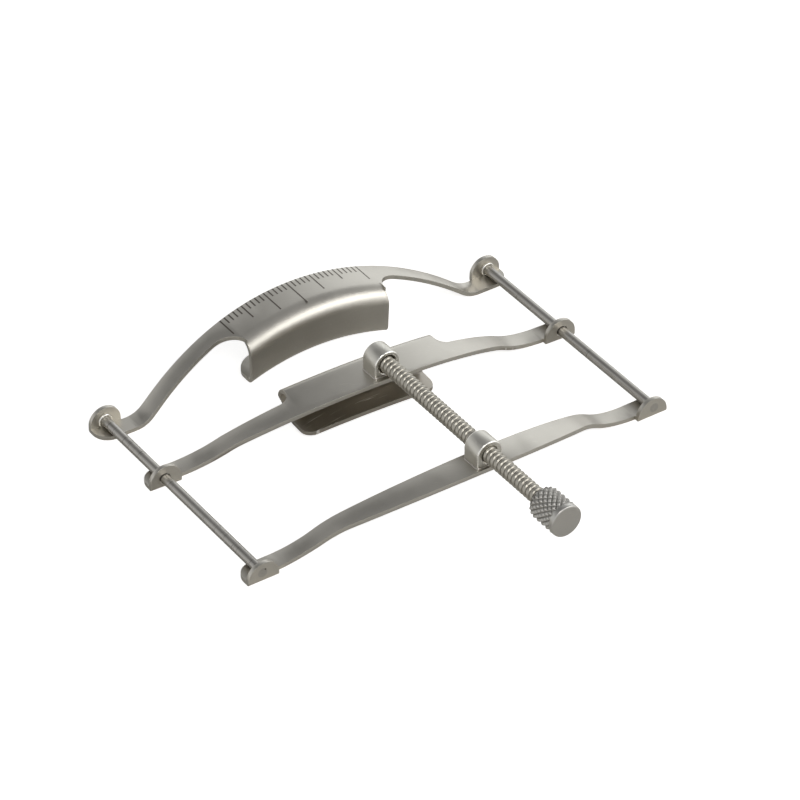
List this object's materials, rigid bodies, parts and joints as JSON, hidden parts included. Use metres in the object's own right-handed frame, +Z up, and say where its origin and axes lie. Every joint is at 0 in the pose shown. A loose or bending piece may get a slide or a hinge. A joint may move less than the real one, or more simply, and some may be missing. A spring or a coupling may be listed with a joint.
{
  "type": "eye speculum",
  "caption": "Adjustable steel eye speculum with a flat vaulted frame, two guide rods, facing channel blades and a knurled thumb screw that moves one blade.",
  "frame": {"origin": "on the table under the middle of the whole part's length and width, on the plane of the flanges' undersides", "axes": "+X to the right along the bars with the knob towards the viewer, +Y along the rods from the knob to the fixed blade, +Z up out of the vault"},
  "size_m": [0.0887, 0.086, 0.0175],
  "materials": {
    "sheet": "satin",
    "rod": "satin",
    "braze": "satin",
    "boss": "satin",
    "screw": "satin",
    "knob": "knurled"
  },
  "bodies": {
    "frame": {"fixed_blade": "sheet", "cross_bar": "sheet", "guide_rod_left": "rod", "guide_rod_right": "rod", "rod_collar_left": "braze", "rod_collar_right": "braze", "nut_boss": "boss"},
    "slider": {"sliding_blade": "sheet", "swivel_boss": "boss"},
    "screw": {"thumb_screw": "screw", "retaining_ring": "screw", "knurled_knob": "knob"}
  },
  "joints": [
    {"name": "blade_slide", "type": "slide", "parent": "frame", "child": "slider", "axis": [0, 1, 0], "range_m": [-0.02, 0.0095]},
    {"name": "screw_turn", "type": "hinge", "parent": "slider", "child": "screw", "pos_m": [0, 0, 0.01435], "axis": [0, 1, 0], "range_deg": [-6860, 3260]}
  ],
  "couplings": [
    {"joint": "screw_turn", "follows": "blade_slide", "rad_per_m": 5984}
  ]
}
